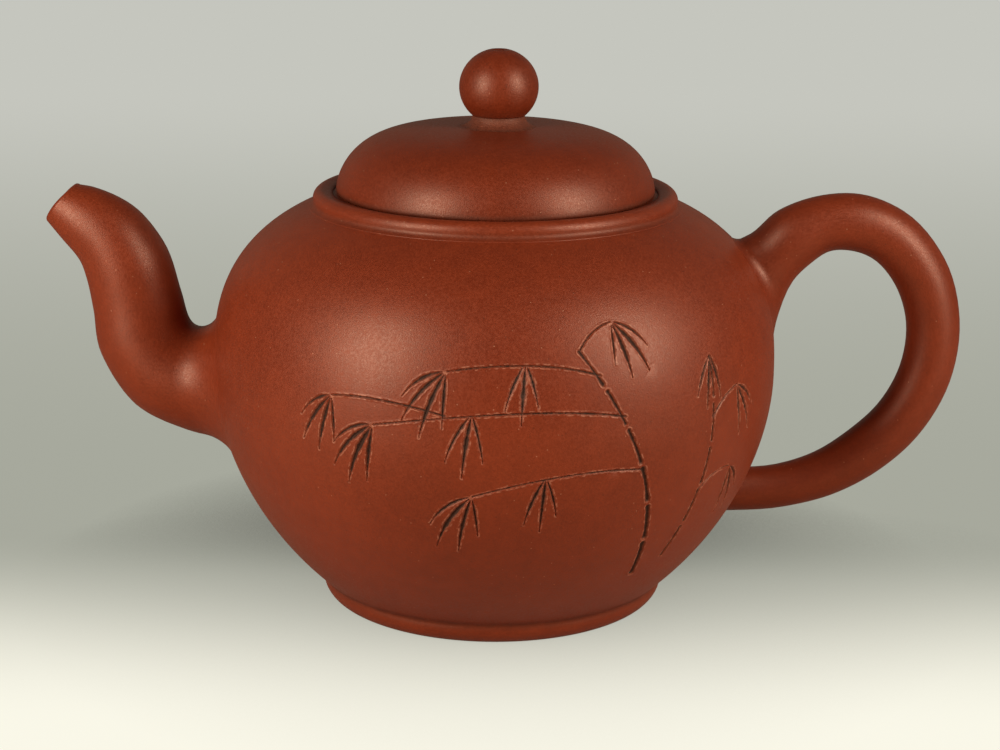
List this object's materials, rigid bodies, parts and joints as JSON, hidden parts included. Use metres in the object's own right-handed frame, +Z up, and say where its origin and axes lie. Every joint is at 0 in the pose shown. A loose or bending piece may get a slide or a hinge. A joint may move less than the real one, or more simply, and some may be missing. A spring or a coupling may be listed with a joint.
{
  "type": "teapot",
  "caption": "Round-bellied unglazed red-brown clay teapot with a curved spout, a loop handle, a ringed mouth and a loose domed lid with a ball knob, for brewing and pouring tea.",
  "frame": {"origin": "centre of the foot ring's underside, on the belly's axis, at the level the pot stands on", "axes": "+Z up along the belly's axis, +X towards the handle, -X towards the spout"},
  "size_m": [0.1887, 0.116, 0.1143],
  "materials": {
    "burnished_clay": "satin",
    "raw_clay": "matte",
    "slip_clay": "matte"
  },
  "bodies": {
    "pot": {"belly_wall": "burnished_clay", "base_plate": "raw_clay", "foot_ring": "burnished_clay", "mouth_plate": "raw_clay", "neck_ring": "burnished_clay", "spout": "burnished_clay", "strainer": "raw_clay", "handle": "burnished_clay"},
    "lid": {"lid_dome": "burnished_clay", "lid_flange": "raw_clay", "knob_collar": "slip_clay", "knob": "burnished_clay"}
  },
  "joints": [
    {"name": "lid_lift", "type": "slide", "parent": "pot", "child": "lid", "axis": [0, 0, 1], "range_m": [0, 0.06]}
  ]
}
